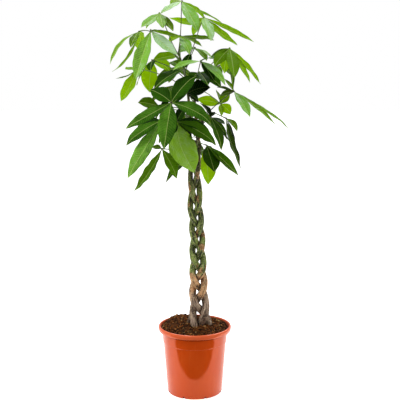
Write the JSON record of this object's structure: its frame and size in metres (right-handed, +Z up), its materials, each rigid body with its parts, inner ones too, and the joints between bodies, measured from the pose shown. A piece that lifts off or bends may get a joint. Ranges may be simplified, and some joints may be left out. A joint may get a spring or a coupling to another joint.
{
  "type": "potted money tree",
  "caption": "Potted money tree: a trunk braided from slender stems in a round plastic grower's pot, under a loose crown of drooping palmate leaves.",
  "frame": {"origin": "middle of the flat underside of the pot, on the surface that it stands on", "axes": "+Z up along the pot's centre line; the viewer of the picture looks along +Y; +X to the viewer's right"},
  "size_m": [0.5857, 0.5141, 1.3062],
  "materials": {
    "pot_plastic": "satin",
    "potting_mix": "matte",
    "bark": "matte",
    "leaf_upper": "satin",
    "leaf_deep": "satin",
    "leaf_back": "satin"
  },
  "bodies": {
    "root": {"pot": "pot_plastic", "soil": "potting_mix", "stem_1": "bark", "stem_2": "bark", "stem_3": "bark", "stub": "bark", "leaf_01": "leaf_upper", "leaf_02": "leaf_upper", "leaf_03": "leaf_upper", "leaf_04": "leaf_back", "leaf_05": "leaf_upper", "leaf_06": "leaf_upper", "leaf_07": "leaf_back", "leaf_08": "leaf_upper", "leaf_09": "leaf_upper", "leaf_10": "leaf_upper", "leaf_11": "leaf_upper", "leaf_12": "leaf_back", "leaf_13": "leaf_back", "leaf_14": "leaf_deep", "leaf_15": "leaf_deep", "leaf_16": "leaf_upper", "leaf_17": "leaf_deep", "leaf_18": "leaf_deep", "leaf_19": "leaf_deep", "leaf_20": "leaf_back", "leaf_21": "leaf_deep", "leaf_22": "leaf_deep", "leaf_23": "leaf_deep", "leaf_24": "leaf_back", "leaf_25": "leaf_back", "leaf_26": "leaf_back", "leaf_27": "leaf_back", "leaf_28": "leaf_back", "leaf_29": "leaf_back", "leaf_30": "leaf_back", "leaf_31": "leaf_back", "leaf_32": "leaf_back", "leaf_33": "leaf_deep"}
  },
  "joints": []
}
